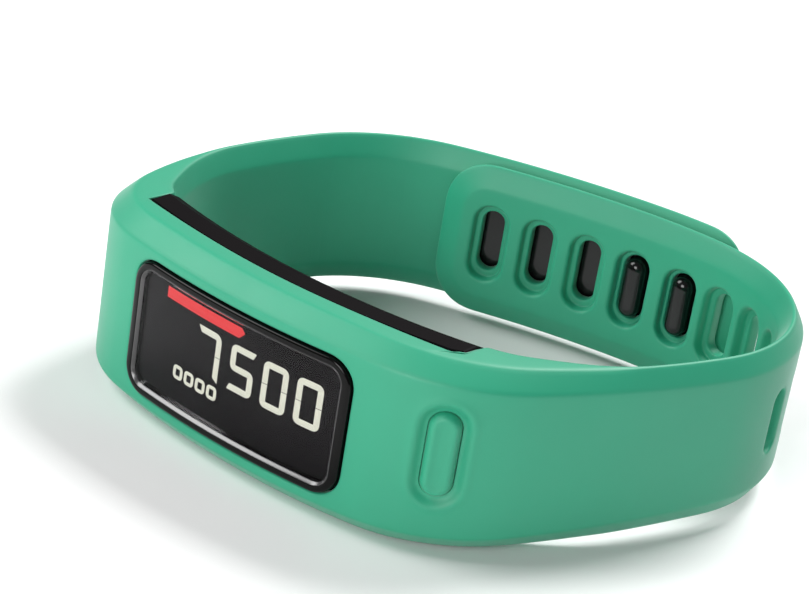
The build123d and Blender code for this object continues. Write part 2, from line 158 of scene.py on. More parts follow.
def at(s, depth, height):
    """A point of the band: arc length from the display, depth below the outer face, height."""
    side = 1 if s >= 0 else -1
    x, y, heading = follow(HOLE_SIDE if s >= 0 else PEG_SIDE, abs(s))
    normal = Vector((side * math.sin(heading), -math.cos(heading), 0))
    return Vector((side * x, y, height)) - normal * depth


def curved(x, depth, height):
    """A point behind the display's own cylinder, which the module's pieces follow."""
    return Vector((x, FRONT_RADIUS - math.sqrt((FRONT_RADIUS - depth) ** 2 - x * x), height))


def lerp(a, b, t):
    return a + (b - a) * t


def share(value, start, end):
    return (value - start) / (end - start)


def ease(value, start, end):
    t = min(max(share(value, start, end), 0.0), 1.0)
    return t * t * (3 - 2 * t)


def half_height(s):
    return BAND_WIDTH / 2 - (BAND_WIDTH - STRAP_WIDTH) / 2 * ease(abs(s), TAPER_START, TAPER_END)


def thinning(s):
    return ease(abs(s), THINNING_START, THINNING_END)


def thickness(s):
    return lerp(POCKET_THICKNESS, STRAP_THICKNESS, thinning(s))


def spaced(start, end, count):
    """`count` stations from start towards end, without the end itself."""
    return [lerp(start, end, k / count) for k in range(count)]


# ------------------------------------------------------------- inner side of a column
def strap_inner(s):
    """Plan point, way out, half height, chamfer height and depth on the inner face."""
    point = at(s, thickness(s), 0)
    chamfer = lerp(WALL_CHAMFER_DEPTH, INNER_CHAMFER_DEPTH, thinning(s))
    return point, at(s, 0, 0) - point, half_height(s), INNER_CHAMFER_HEIGHT, chamfer


def pocket_inner(point, equivalent, openness):
    """The same on the pocket's shelf, or on a wall that is `openness` of the way to the strap.

    `equivalent` is the arc length whose band width it takes."""
    height = lerp(SHELF_CHAMFER_HEIGHT, INNER_CHAMFER_HEIGHT, openness)
    chamfer = lerp(SHELF_CHAMFER_DEPTH, WALL_CHAMFER_DEPTH, openness)
    return point, Vector((0, -1, 0)), half_height(equivalent), height, chamfer


def facet_y(x):
    """The pocket's slanted end under the button, in plan."""
    corner = at(BUTTON_AT, FACET - FIT, 0)
    small_step = 0.1
    beyond = at(BUTTON_AT + small_step, FACET - FIT, 0)
    slope = (beyond.y - corner.y) / (beyond.x - corner.x)
    return corner.y + (x - corner.x) * slope


def inner_side(s):
    """The band's inner face at a station: strap, pocket wall, shelf, pocket wall, strap."""
    left_foot = curved(POCKET_LEFT, SHELF_LINE, 0)
    right_foot = Vector((POCKET_RIGHT, facet_y(POCKET_RIGHT), 0))
    if s < -EVEN_FROM or s > EVEN_FROM:
        return strap_inner(s)
    if s < LEFT_TOP:
        return strap_inner(lerp(-WALL_LEFT, -EVEN_FROM, share(s, LEFT_TOP, -EVEN_FROM)))
    if s < LEFT_FOOT:
        t = share(s, LEFT_TOP, LEFT_FOOT)
        top = at(-WALL_LEFT, thickness(WALL_LEFT), 0)
        return pocket_inner(top.lerp(left_foot, t), lerp(WALL_LEFT, -LEFT_FOOT, t), 1 - t)
    if s <= SHELF_END:
        for (s0, x0), (s1, x1) in zip(SHELF_STATIONS, SHELF_STATIONS[1:]):
            if s <= s1 + TINY:
                x = lerp(x0, x1, share(s, s0, s1))
                return pocket_inner(curved(x, SHELF_LINE, 0), x, 0.0)
    if s <= RIGHT_FOOT:
        shelf_edge = curved(SHELF_STATIONS[-1][1], SHELF_LINE, 0)
        point = shelf_edge.lerp(right_foot, share(s, SHELF_END, RIGHT_FOOT))
        return pocket_inner(point, SHELF_RIGHT_AT, 0.0)
    if s <= RIGHT_TOP:
        t = share(s, RIGHT_FOOT, RIGHT_TOP)
        top = at(WALL_RIGHT, thickness(WALL_RIGHT), 0)
        return pocket_inner(right_foot.lerp(top, t), lerp(RIGHT_FOOT_AT, WALL_RIGHT, t), t)
    return strap_inner(lerp(WALL_RIGHT, EVEN_FROM, share(s, RIGHT_TOP, EVEN_FROM)))


# ------------------------------------------------------------- mesh building
class Shell:
    """A closed strap: an outer grid, an inner grid and a rounded edge profile round both.

    `tip` is (arc length of the end, side) for a strap with a rounded end."""

    def __init__(self, stations, tip=None, inner=strap_inner):
        self.verts = []
        self.faces = []
        self.sharp = []
        self.stations = stations
        self.tip = tip
        self.inner = inner
        self.outer_skip = set()
        self.inner_skip = set()
        self.columns = len(stations) + (TIP_COLUMNS if tip else 0)
        self.outer = self.add_grid(True)
        self.under = self.add_grid(False)

    def add(self, point):
        self.verts.append(point)
        return len(self.verts) - 1

    def add_grid(self, outside):
        return [[self.add(self.grid_point(j, i, outside)) for i in range(ROWS + 1)]
                for j in range(self.columns)]

    def tip_core(self):
        end, side = self.tip
        return end - side * END_CORNER, half_height(end) - END_CORNER

    def tip_place(self, j, i, reach):
        """Core point, direction and share of `reach` of a grid vertex near the strap's tip."""
        core_s, core_v = self.tip_core()
        a = (j - len(self.stations) + 1) / TIP_COLUMNS
        v = (core_v + reach) * (2 * i / ROWS - 1)
        if abs(v) <= core_v:
            return core_s, v, 1.0, 0.0, a
        b = (abs(v) - core_v) / reach
        size = math.hypot(a, b)
        return core_s, math.copysign(core_v, v), a / size, math.copysign(b, v) / size, max(a, b)

    def grid_point(self, j, i, outside):
        if j < len(self.stations):
            s = self.stations[j]
            up = 2 * i / ROWS - 1
            if outside:
                return at(s, 0, up * (half_height(s) - CHAMFER_HEIGHT - EDGE_ROUND[0]))
            point, _, half, height, _ = self.inner(s)
            edge = height + min(EDGE_ROUND[3], height * ROUND_SHARE)
            return point + Vector((0, 0, up * (half - edge)))
        reach = tip_reach(outside)
        core_s, core_v, ds, dv, part = self.tip_place(j, i, reach)
        s = core_s + self.tip[1] * reach * part * ds
        return at(s, 0 if outside else STRAP_THICKNESS, core_v + reach * part * dv)

    def corners(self, j, i):
        """The edge profile's four corners at a boundary vertex."""
        if j < len(self.stations):
            sign = 1 if i else -1
            s = self.stations[j]
            half = half_height(s)
            depth = lerp(CHAMFER_DEPTH, STRAP_CHAMFER_DEPTH, thinning(s))
            point, way_out, inner_half, height, chamfer = self.inner(s)
            up = Vector((0, 0, sign))
            return [
                at(s, 0, 0) + up * (half - CHAMFER_HEIGHT),
                at(s, depth, 0) + up * half,
                point + way_out.normalized() * chamfer + up * inner_half,
                point + up * (inner_half - height),
            ]
        side = self.tip[1]
        core_s, core_v, ds, dv, _ = self.tip_place(j, i, tip_reach(True))
        steps = [
            (END_CORNER - CHAMFER_HEIGHT, 0.0),
            (END_CORNER, STRAP_CHAMFER_DEPTH),
            (END_CORNER, STRAP_THICKNESS - INNER_CHAMFER_DEPTH),
            (END_CORNER - INNER_CHAMFER_HEIGHT, STRAP_THICKNESS),
        ]
        return [at(core_s + side * r * ds, depth, core_v + r * dv) for r, depth in steps]

    def profile(self, j, i):
        """Vertex ids across the edge, from the outer grid's boundary to the inner grid's."""
        c = self.corners(j, i)
        first, last = self.outer[j][i], self.under[j][i]
        path = [self.verts[first]] + c + [self.verts[last]]
        ids = [first]
        for k in range(4):
            before, here, after = path[k], path[k + 1], path[k + 2]
            shortest = min((after - here).length, (here - before).length)
            radius = min(EDGE_ROUND[k], ROUND_SHARE * shortest)
            enter = here + (before - here).normalized() * radius if k else path[0]
            leave = here + (after - here).normalized() * radius if k < 3 else path[-1]
            middle = (enter + here * 2 + leave) / 4
            new = ([enter] if k else []) + [middle] + ([leave] if k < 3 else [])
            if k == 2:
                ids.append(self.add(self.verts[ids[-1]].lerp(enter, 0.5)))
            ids += [self.add(p) for p in new]
        return ids + [last]

    def boundary(self):
        """Grid places along the edge: one run round a rounded tip, or the two long sides."""
        end = self.columns - 1
        top = [(j, ROWS) for j in range(self.columns)]
        bottom = [(j, 0) for j in range(end, -1, -1)]
        if not self.tip:
            return top, bottom
        return top + [(end, i) for i in range(ROWS - 1, 0, -1)] + bottom, None

    def strip(self, places):
        """Adds the edge profile along grid places."""
        lines = [self.profile(j, i) for j, i in places]
        for a, b in zip(lines, lines[1:]):
            for k in range(len(a) - 1):
                self.faces.append((a[k], b[k], b[k + 1], a[k + 1]))
        return lines

    def cap(self, j, top, bottom):
        """Closes a flat cut end."""
        before = len(self.faces)
        for i in range(ROWS):
            outer, under = self.outer[j], self.under[j]
            self.faces.append((outer[i], outer[i + 1], under[i + 1], under[i]))
        self.faces += [tuple(top), tuple(bottom)]
        self.sharp += list(range(before, len(self.faces)))

    def cut(self, patch, outer, under):
        """Leaves a patch open in one or both grids, and gives the places round it."""
        j0, j1, i0, i1 = patch
        cells = {(j, i) for j in range(j0, j1) for i in range(i0, i1)}
        if outer:
            self.outer_skip |= cells
        if under:
            self.inner_skip |= cells
        return [(j, i0) for j in range(j0, j1)] + [(j1, i) for i in range(i0, i1)] \
            + [(j, i1) for j in range(j1, j0, -1)] + [(j0, i) for i in range(i1, i0, -1)]

    def bridge(self, rings):
        """Joins rings of the same number of vertices."""
        for a, b in zip(rings, rings[1:]):
            n = len(a)
            for k in range(n):
                self.faces.append((a[k], a[(k + 1) % n], b[(k + 1) % n], b[k]))

    def close(self):
        """Adds the grids' faces, the edge strips and the flat cut ends."""
        for grid, skip in ((self.outer, self.outer_skip), (self.under, self.inner_skip)):
            for j in range(self.columns - 1):
                for i in range(ROWS):
                    if (j, i) not in skip:
                        here, after = grid[j], grid[j + 1]
                        self.faces.append((here[i], after[i], after[i + 1], here[i + 1]))
        first, second = self.boundary()
        lines = self.strip(first)
        if second:
            others = self.strip(second)
            self.cap(0, lines[0], others[-1])
            self.cap(self.columns - 1, lines[-1], others[0])
        else:
            self.cap(0, lines[0], lines[-1])

    def piece(self, name, levels):
        return make_piece(name, self.verts, self.faces, levels, self.sharp)


def tip_reach(outside):
    """How far a face's grid reaches past the straight part of a rounded tip."""
    inset = CHAMFER_HEIGHT + EDGE_ROUND[0] if outside else INNER_CHAMFER_HEIGHT + EDGE_ROUND[3]
    return END_CORNER - inset


def edges_of(ids):
    return {tuple(sorted(pair)) for pair in zip(ids, ids[1:] + ids[:1])}


def make_piece(name, points, faces, levels=0, sharp=()):
    """A smooth closed mesh from millimetre points, with its subdivision applied.

    The faces numbered in `sharp` are flat ends, and keep a hard edge."""
    used = sorted({v for face in faces for v in face})
    index = {v: k for k, v in enumerate(used)}
    mesh = bpy.data.meshes.new(name)
    places = [(points[v] + FRONT_CENTRE) * MM for v in used]
    faces = [[index[v] for v in face] for face in faces]
    mesh.from_pydata(places, [], faces)
    flat = set(sharp)
    cap_edges, side_edges = set(), set()
    for f, face in enumerate(faces):
        (cap_edges if f in flat else side_edges).update(edges_of(face))
    rim = cap_edges & side_edges
    crease = mesh.attributes.new("crease_edge", "FLOAT", "EDGE")
    hard = mesh.attributes.new("sharp_edge", "BOOLEAN", "EDGE")
    for edge in mesh.edges:
        on_rim = tuple(sorted(edge.vertices)) in rim
        crease.data[edge.index].value = 1.0 if on_rim else 0.0
        hard.data[edge.index].value = on_rim
    for polygon in mesh.polygons:
        polygon.use_smooth = True
    thing = bpy.data.objects.new(name, mesh)
    bpy.context.scene.collection.objects.link(thing)
    if levels:
        modifier = thing.modifiers.new("smooth", "SUBSURF")
        modifier.levels = modifier.render_levels = levels
        bpy.context.view_layer.update()
        evaluated = thing.evaluated_get(bpy.context.evaluated_depsgraph_get())
        final = bpy.data.meshes.new_from_object(evaluated)
        thing.modifiers.clear()
        thing.data = final
    face_outwards(thing.data)
    return thing


def face_outwards(mesh):
    work = bmesh.new()
    work.from_mesh(mesh)
    bmesh.ops.recalc_face_normals(work, faces=work.faces)
    work.to_mesh(mesh)
    work.free()


def rounded(place, core, radius, centre=(0.0, 0.0)):
    """The point of a rounded rectangle, or pill, that faces `place`."""
    x, y = place[0] - centre[0], place[1] - centre[1]
    cx = min(max(x, -core[0]), core[0])
    cy = min(max(y, -core[1]), core[1])
    away = math.hypot(x - cx, y - cy)
    return centre[0] + cx + radius * (x - cx) / away, centre[1] + cy + radius * (y - cy) / away


def ring(shell, places, core, radius, depth, where, centre=(0.0, 0.0)):
    ids = []
    for place in places:
        x, y = rounded(place, core, radius, centre)
        ids.append(shell.add(where(x, y, depth)))
    return ids


def pill_core(size):
    return (0.0, size[0] / 2 - size[1] / 2), size[1] / 2


# ------------------------------------------------------------- features of the band
def local_space(s, tilt=0.0):
    """Maps (x along the strap, y, depth) about arc length s, with straight walls.

    Also gives the strap's bend there, in radians per millimetre."""
    bend = follow(HOLE_SIDE, s + 0.5)[2] - follow(HOLE_SIDE, s - 0.5)[2]

    def where(x, y, depth):
        return at(s + (x + tilt * depth) / (1 - bend * depth), depth, y)
    return where, bend


def cut_hole(shell, index, j0, j1):
    """A slot with a wider recess on the wrist's side. The pegs' two slots are parallel."""
    s = FIRST_HOLE - index * HOLE_PITCH
    tilt = 0.0
    if index in PEG_HOLES:
        headings = [follow(HOLE_SIDE, FIRST_HOLE - k * HOLE_PITCH)[2] for k in PEG_HOLES]
        tilt = follow(HOLE_SIDE, s)[2] - sum(headings) / len(headings)
    where, bend = local_space(s, tilt)
    patch = (j0, j1, *HOLE_ROWS)
    loop = shell.cut(patch, True, True)
    inverse = 1 - bend * STRAP_THICKNESS
    outside = [shell_place(shell, j, i, True, s, 1.0) for j, i in loop]
    inside = [shell_place(shell, j, i, False, s, inverse) for j, i in loop]
    core, radius = pill_core(PEG_SLOT if index in PEG_HOLES else SLOT)
    rings = [[shell.outer[j][i] for j, i in loop]]
    floor = STRAP_THICKNESS - COUNTERBORE_DEPTH
    for grow, depth in HOLE_RINGS:
        rings.append(ring(shell, outside, core, radius + grow, depth, where))
    for grow, depth in HOLE_FLOOR_RINGS:
        rings.append(ring(shell, outside, core, radius + grow, floor + depth, where))
    core, radius = pill_core(COUNTERBORE)
    for grow, depth in RECESS_RINGS:
        rings.append(ring(shell, inside, core, radius + grow, floor + depth, where))
    rings.append([shell.under[j][i] for j, i in loop])
    shell.bridge(rings)


def shell_place(shell, j, i, outside, centre, scale):
    """A grid vertex's (x along the strap, height) about arc length `centre`."""
    grid = shell.outer if outside else shell.under
    point = shell.verts[grid[j][i]]
    if j < len(shell.stations):
        return (shell.stations[j] - centre) * scale, point.z
    reach = tip_reach(outside)
    core_s, _, ds, _, part = shell.tip_place(j, i, reach)
    return (core_s + shell.tip[1] * reach * part * ds - centre) * scale, point.z


def cut_window(shell, j0, j1):
    """The display's window, and behind it the pocket that holds the module."""
    loop = shell.cut((j0, j1, 0, ROWS), True, True)
    outside = [shell.verts[shell.outer[j][i]].xz for j, i in loop]
    inside = [shell.verts[shell.under[j][i]].xz for j, i in loop]
    width, height, corner = WINDOW
    core = (width / 2 - corner, height / 2 - corner)

    def face(x, y, depth):
        return curved(x, depth, y)

    def floor(x, y, depth):
        point = curved(x, depth, y)
        return Vector((x, max(point.y, facet_y(x)), y))

    rings = [[shell.outer[j][i] for j, i in loop]]
    for grow, depth in WINDOW_RINGS:
        rings.append(ring(shell, outside, core, corner + grow, depth, face))
    body = (BODY_RIGHT - BODY_LEFT) / 2 - BODY_CORNER, BODY_HEIGHT / 2 - BODY_CORNER
    centre = ((BODY_RIGHT + BODY_LEFT) / 2, 0)
    rim = 0.15
    for grow, depth, where in ((-0.2, LIP_LINE, floor), (0.0, LIP_LINE + rim, floor),
                               (0.0, SHELF_LINE - rim, floor), (rim, SHELF_LINE, face)):
        rings.append(ring(shell, inside, body, BODY_CORNER + grow, depth, where, centre))
    rings.append([shell.under[j][i] for j, i in loop])
    shell.bridge(rings)


def cut_button(shell, j0, j1):
    """The groove and soft ridge round the button, over a thin closed skin."""
    where, _ = local_space(BUTTON_AT)
    loop = shell.cut((j0, j1, *BUTTON_ROWS), True, False)
    outside = [shell_place(shell, j, i, True, BUTTON_AT, 1.0) for j, i in loop]
    core, radius = pill_core(BUTTON)
    centre = (0, BUTTON_HEIGHT)
    rings = [[shell.outer[j][i] for j, i in loop]]
    for grow, depth in GROOVE_RINGS:
        rings.append(ring(shell, outside, core, radius + grow, depth, where, centre))
    shell.bridge(rings)
    shell.faces.append(tuple(rings[-1]))


# ------------------------------------------------------------- silicone pieces
def make_band():
    """The rigid part: the peg side up to RIDE_FROM, the pocket and the strap with the holes."""
    last_hole = FIRST_HOLE - (HOLE_COUNT - 1) * HOLE_PITCH
    holes_from = last_hole - HOLE_PITCH / 2
    tip_core = HOLE_STRAP_END - END_CORNER
    stations = spaced(-RIDE_FROM, LEFT_TOP, 28) + spaced(LEFT_TOP, LEFT_FOOT, 6)
    stations += spaced(LEFT_FOOT, -WINDOW_EDGE, 3)
    window_from = len(stations)
    stations += spaced(-WINDOW_EDGE, WINDOW_EDGE, 38)
    window_to = len(stations)
    stations += spaced(WINDOW_EDGE, SHELF_END, 2) + spaced(SHELF_END, RIGHT_FOOT, 2)
    button_from = len(stations)
    stations += spaced(RIGHT_FOOT, BUTTON_END, 12)
    button_to = len(stations)
    stations += spaced(BUTTON_END, holes_from, 26)
    hole_starts = []
    for k in range(HOLE_COUNT - 1):
        hole_starts.append(len(stations))
        start = holes_from + k * HOLE_PITCH
        stations += spaced(start, start + HOLE_PITCH, HOLE_COLUMNS)
    hole_starts.append(len(stations))
    stations += spaced(stations[-1] + HOLE_PITCH / HOLE_COLUMNS, tip_core, 6) + [tip_core]
    shell = Shell(stations, (HOLE_STRAP_END, 1), inner_side)
    for k, start in enumerate(hole_starts):
        cut_hole(shell, HOLE_COUNT - 1 - k, start, start + HOLE_COLUMNS)
    cut_window(shell, window_from, window_to)
    cut_button(shell, button_from, button_to)
    shell.close()
    return shell.piece("band_silicone", 1)


def make_flex_zone():
    """The stretch of the peg side where the real strap bends, made as a still piece."""
    shell = Shell(spaced(-RIDE_FROM, -FLEX_END, 10) + [-FLEX_END])
    shell.close()
    return shell.piece("band_flex_zone", 1)


def make_clasp_strap():
    """The peg side's end, which lies over the strap with the holes."""
    core = -(PEG_STRAP_END - END_CORNER)
    shell = Shell(spaced(-FLEX_END, core, 32) + [core], (-PEG_STRAP_END, -1))
    shell.close()
    return shell.piece("clasp_silicone", 1)


def make_button():
    """The raised pill over the key: a soft crowned top and straight sides in the groove."""
    where, _ = local_space(BUTTON_AT)
    core, radius = pill_core(BUTTON)
    points, faces = [], []
    count = PAD_PLACES
    places = []
    for k in range(count):
        turn = 2 * math.pi * k / count
        places.append((PAD_CIRCLE * math.cos(turn), BUTTON_HEIGHT + PAD_CIRCLE * math.sin(turn)))
    for grow, depth in PAD_RINGS:
        for place in places:
            x, y = rounded(place, core, radius + grow, (0, BUTTON_HEIGHT))
            points.append(where(x, y, depth))
    for r in range(len(PAD_RINGS) - 1):
        for k in range(count):
            a, b = r * count + k, r * count + (k + 1) % count
            faces.append((a, b, b + count, a + count))
    faces.append(tuple(range(count)))
    faces.append(tuple(range((len(PAD_RINGS) - 1) * count, len(PAD_RINGS) * count)))
    return make_piece("button_silicone", points, faces, 1)


# ------------------------------------------------------------- display
def make_ring(name, rings):
    """A ring round the display. Its outer half follows the window, its inner half the panel."""
    width, height, corner = WINDOW
    core = (width / 2 - corner, height / 2 - corner)
    view_width, view_height, view_corner = PANEL_VIEW
    panel = (view_width / 2 - view_corner, view_height / 2 - view_corner)
    points, faces, places = [], [], []
    (across, up), half = BEZEL_PLACES, BEZEL_BOX
    for k in range(across):
        places.append((lerp(-half[0], half[0], k / across), -half[1]))
    for k in range(up):
        places.append((half[0], lerp(-half[1], half[1], k / up)))
    places += [(-x, -y) for x, y in places]
    count = len(places)
    for grow, depth in rings:
        for place in places:
            if grow > -BEZEL_REACH / 2:
                x, y = rounded(place, core, corner + grow)
            else:
                x, y = rounded(place, panel, view_corner + grow + BEZEL_REACH)
            points.append(curved(x, depth, y))
    for r in range(len(rings)):
        for k in range(count):
            a, b = r * count + k, r * count + (k + 1) % count
            c, d = (b + count) % len(points), (a + count) % len(points)
            faces.append((a, b, c, d))
    return make_piece(name, points, faces)


def make_bezel():
    """The gloss ring: a rounded outer shoulder and a flat land."""
    return make_ring("bezel_ring", BEZEL_RINGS)


def make_bezel_edge():
    """The bevel between the land and the lens: glossier than the land, and grey in colour as a
    painted highlight.
    """
    return make_ring("bezel_edge", BEZEL_EDGE_RINGS)


# The read-out: x to the right and y up, from the middle of the display
GLYPH_DEPTH, GLYPH_THICKNESS = 0.57, 0.02
GLYPH_SHIFT = Vector((-0.36, -0.27))           # for the depth they are seen through
DIGIT_TOP, DIGIT_BOTTOM, DIGIT_STROKE, DIGIT_WIDTH = 3.95, -1.1, 0.68, 3.1
DIGIT_LEFTS, DIGIT_BEND, SEGMENT_GAP = (-4.35, 0.13, 4.35, 8.5), 0.42, 0.07
SEVEN_INDENT, SEVEN_LEAN, SEVEN_BEND, FIVE_LEAN, OPEN_END = 0.3, 0.42, 0.55, 0.3, 0.1
PIP_COUNT, PIP_LEFT, PIP_PITCH, PIP_STROKE, PIP_BEND = 4, -7.3, 1.62, 0.37, 0.3
PIP_BOX = (0.15, 1.15, -3.1, -1.95)            # left, right, bottom and top of its centre line
BAR_LEFT, BAR_RIGHT, BAR_POINT, BAR_BOTTOM, BAR_TOP = -9.45, 0.95, 1.5, 4.75, 5.93
BAR_COLUMNS, BAR_SLANT = 14, 0.1


def centre_line(corners, bend, closed=False):
    """A polyline's points with each corner rounded to `bend`."""
    path = [Vector(p) for p in corners]
    count = len(path)
    line = []
    for k, here in enumerate(path):
        if not closed and k in (0, count - 1):
            line.append(here)
            continue
        before, after = path[k - 1], path[(k + 1) % count]
        enter = here + (before - here).normalized() * bend
        leave = here + (after - here).normalized() * bend
        for t in (0.0, 0.25, 0.5, 0.75, 1.0):
            line.append(enter.lerp(here, t).lerp(here.lerp(leave, t), t))
    return line


def join_sections(faces, a, b):
    """Joins the four-point sections that start at vertices a and b."""
    for p, q in ((0, 2), (2, 3), (3, 1), (1, 0)):
        faces.append((a + p, a + q, b + q, b + p))


def cap_sections(faces, first, count):
    """Closes the first and last of `count` sections."""
    for a in (first, first + 4 * (count - 1)):
        faces.append((a, a + 2, a + 3, a + 1))


def stroke(points, faces, corners, width, bend, closed=False, leans=(0.0, 0.0)):
    """A thin raised stroke on the display, added to a list of points and faces.

    `leans` slants its first and last ends: above zero, the side on its left reaches further."""
    line = centre_line(corners, bend, closed)
    count = len(line)
    first = len(points)
    for k, here in enumerate(line):
        before = line[k - 1] if closed or k else here
        after = line[(k + 1) % count] if closed or k < count - 1 else here
        along = (after - before).normalized()
        side = Vector((-along.y, along.x)) * width / 2
        reach = -along * leans[0] if k == 0 else along * leans[1] if k == count - 1 else along * 0
        longer = 0 if (leans[0] if k == 0 else leans[1]) > 0 else 1
        for which, place in enumerate((here + side, here - side)):
            if which == longer:
                place = place + (reach if longer == 0 else -reach)
            add_glyph_point(points, place)
    for k in range(count if closed else count - 1):
        join_sections(faces, first + 4 * k, first + 4 * ((k + 1) % count))
    if not closed:
        cap_sections(faces, first, count)


def add_glyph_point(points, place):
    for depth in (GLYPH_DEPTH, GLYPH_DEPTH + GLYPH_THICKNESS):
        points.append(curved(place[0] + GLYPH_SHIFT.x, depth, place[1] + GLYPH_SHIFT.y))


def plate(points, faces, outline):
    """A thin flat shape whose lower and upper edges are given as matching points."""
    first = len(points)
    lower, upper = outline
    for low, high in zip(lower, upper):
        for place in (low, high):
            add_glyph_point(points, place)
    count = len(lower)
    for k in range(count - 1):
        join_sections(faces, first + 4 * k, first + 4 * (k + 1))
    cap_sections(faces, first, count)


def make_numerals():
    """A generic read-out of open segments, with a narrow gap where two meet."""
    points, faces = [], []
    edge, gap = DIGIT_STROKE / 2, SEGMENT_GAP / 2
    top, bottom = DIGIT_TOP - edge, DIGIT_BOTTOM + edge
    middle = (top + bottom) / 2

    def segment(corners, leans=(0.0, 0.0), bend=DIGIT_BEND):
        stroke(points, faces, corners, DIGIT_STROKE, bend, False, leans)

    seven, five, *zeros = [(start, start + edge, start + DIGIT_WIDTH - edge)
                           for start in DIGIT_LEFTS]
    start, _, right = seven
    segment([(start + SEVEN_INDENT, top), (right, top), (right, middle + gap)],
            (SEVEN_LEAN, 0.0), SEVEN_BEND)
    segment([(right, middle - gap), (right, bottom - OPEN_END)], (0.0, SEVEN_LEAN))
    _, left, right = five
    meet = right - edge
    segment([(right + OPEN_END, top), (left, top), (left, middle), (meet - gap, middle)],
            (-FIVE_LEAN, 0.0))
    segment([(meet + gap, middle), (right, middle), (right, bottom), (left - OPEN_END, bottom)],
            (0.0, FIVE_LEAN))
    for _, left, right in zeros:
        segment([(left, middle - gap), (left, bottom), (right, bottom), (right, middle - gap)])
        segment([(left, middle + gap), (left, top), (right, top), (right, middle + gap)])
    return make_piece("display_numerals", points, faces)


def make_goal_marks():
    """Four small pips under the numerals, in place of a word."""
    points, faces = [], []
    bottom, top = PIP_BOX[2:]
    for k in range(PIP_COUNT):
        left, right = (PIP_LEFT + PIP_PITCH * k + x for x in PIP_BOX[:2])
        box = [(left, bottom), (right, bottom), (right, top), (left, top)]
        stroke(points, faces, box, PIP_STROKE, PIP_BEND, True)
    return make_piece("display_goal_marks", points, faces)


def make_progress_bar():
    """A bar with a short blunt point at its right end."""
    points, faces, outline = [], [], []
    for height, slant, tip in ((BAR_BOTTOM, -BAR_SLANT, 0.55), (BAR_TOP, BAR_SLANT, 0.62)):
        right = BAR_RIGHT + slant
        edge = [(lerp(BAR_LEFT, right, k / BAR_COLUMNS), height) for k in range(BAR_COLUMNS + 1)]
        outline.append(edge + [(BAR_POINT, lerp(BAR_BOTTOM, BAR_TOP, tip))])
    plate(points, faces, outline)
    return make_piece("display_progress_bar", points, faces)


# ------------------------------------------------------------- materials
GRAIN_HEIGHT = 0.00004                         # metres
DIM_SHARE, PAINTED_GLOW = 0.12, 0.92                   # a segment's own colour, and the painted glow that stands in for the lamp light the lens holds back


def surface(name, colour, roughness, **options):
    """A Principled material with a fine grain, uneven tone and uneven gloss.

    Options: metallic, sockets, spread and tone_scale of the tone, rough_spread and
    gloss_scale of the gloss, grain and grain_scale of the bump."""
    made = bpy.data.materials.new(name)
    made.use_nodes = True
    nodes, links = made.node_tree.nodes, made.node_tree.links
    shader = nodes["Principled BSDF"]
    shader.inputs["Metallic"].default_value = options.get("metallic", 0.0)
    for socket, value in options.get("sockets", {}).items():
        shader.inputs[socket].default_value = value
    place = nodes.new("ShaderNodeTexCoord").outputs["Object"]

    def noise(scale, detail=4.0):
        node = nodes.new("ShaderNodeTexNoise")
        node.inputs["Scale"].default_value = scale
        node.inputs["Detail"].default_value = detail
        links.new(place, node.inputs["Vector"])
        return node.outputs["Fac"]

    tone = nodes.new("ShaderNodeValToRGB")
    spread = options.get("spread", 0.06)
    tone.color_ramp.elements[0].position = 0.3
    tone.color_ramp.elements[1].position = 0.7
    tone.color_ramp.elements[0].color = [c * (1 - spread) for c in colour] + [1]
    tone.color_ramp.elements[1].color = [c * (1 + spread) for c in colour] + [1]
    links.new(noise(options.get("tone_scale", 90.0)), tone.inputs["Fac"])
    links.new(tone.outputs["Color"], shader.inputs["Base Color"])
    gloss = nodes.new("ShaderNodeMapRange")
    rough_spread = options.get("rough_spread", 0.04)
    gloss.inputs["To Min"].default_value = roughness - rough_spread
    gloss.inputs["To Max"].default_value = roughness + rough_spread
    links.new(noise(options.get("gloss_scale", 260.0)), gloss.inputs["Value"])
    links.new(gloss.outputs["Result"], shader.inputs["Roughness"])
    grain = options.get("grain", 0.15)
    if grain > 0:
        bump = nodes.new("ShaderNodeBump")
        bump.inputs["Strength"].default_value = grain
        bump.inputs["Distance"].default_value = GRAIN_HEIGHT
        links.new(noise(options.get("grain_scale", 5200.0), 2.0), bump.inputs["Height"])
        links.new(bump.outputs["Normal"], shader.inputs["Normal"])
    return made


def brushed(name, colour, roughness, stretch):
    """Plain metal with fine lines along one axis."""
    made = surface(name, colour, roughness, metallic=1.0, spread=0.05, grain=0.1)
    nodes, links = made.node_tree.nodes, made.node_tree.links
    mapping = nodes.new("ShaderNodeMapping")
    mapping.inputs["Scale"].default_value = stretch
    place = [n for n in nodes if n.bl_idname == "ShaderNodeTexCoord"][0]
    links.new(place.outputs["Object"], mapping.inputs["Vector"])
    for node in nodes:
        if node.bl_idname == "ShaderNodeTexNoise":
            links.new(mapping.outputs["Vector"], node.inputs["Vector"])
    return made


def painted_glow(name, colour):
    """A display segment with painted glow: nearly all of its colour is emitted light, in place of
    the lamp light that the lens holds back.
    """
    dim = [channel * DIM_SHARE for channel in colour]
    made = surface(name, dim, 0.6, spread=0.1, tone_scale=1500.0, grain=0,
                   sockets={"Specular IOR Level": 0.1})
    shader = made.node_tree.nodes["Principled BSDF"]
    shader.inputs["Emission Color"].default_value = [*colour, 1]
    shader.inputs["Emission Strength"].default_value = PAINTED_GLOW
    return made


def clear_lens():
    made = surface("clear_lens", (0.93, 0.94, 0.95), 0.03, spread=0.01, rough_spread=0.01, grain=0)
    shader = made.node_tree.nodes["Principled BSDF"]
    shader.inputs["Transmission Weight"].default_value = 1.0
    shader.inputs["IOR"].default_value = 1.17
    return made


